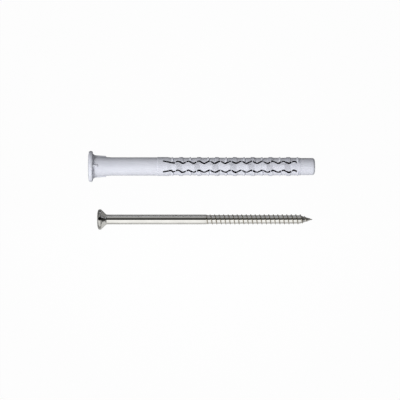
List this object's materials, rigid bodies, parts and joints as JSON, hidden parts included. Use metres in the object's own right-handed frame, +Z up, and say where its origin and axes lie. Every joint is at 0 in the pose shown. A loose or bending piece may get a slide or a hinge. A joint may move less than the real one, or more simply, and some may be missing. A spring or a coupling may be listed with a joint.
{
  "type": "frame fixing",
  "caption": "Frame fixing: a long flanged plug with a barbed expansion zone cut by wavy slits, and its countersunk screw lying beside it.",
  "frame": {"origin": "on the surface the pair lies on, under the middle of the pair", "axes": "+X from the heads to the tips, +Y from the screw to the sleeve, +Z up"},
  "size_m": [0.1202, 0.0416, 0.0164],
  "materials": {
    "nylon": "satin, slightly translucent white nylon",
    "steel": "bright zinc-plated steel"
  },
  "bodies": {
    "root": {"sleeve": "nylon", "screw": "steel"}
  },
  "joints": []
}
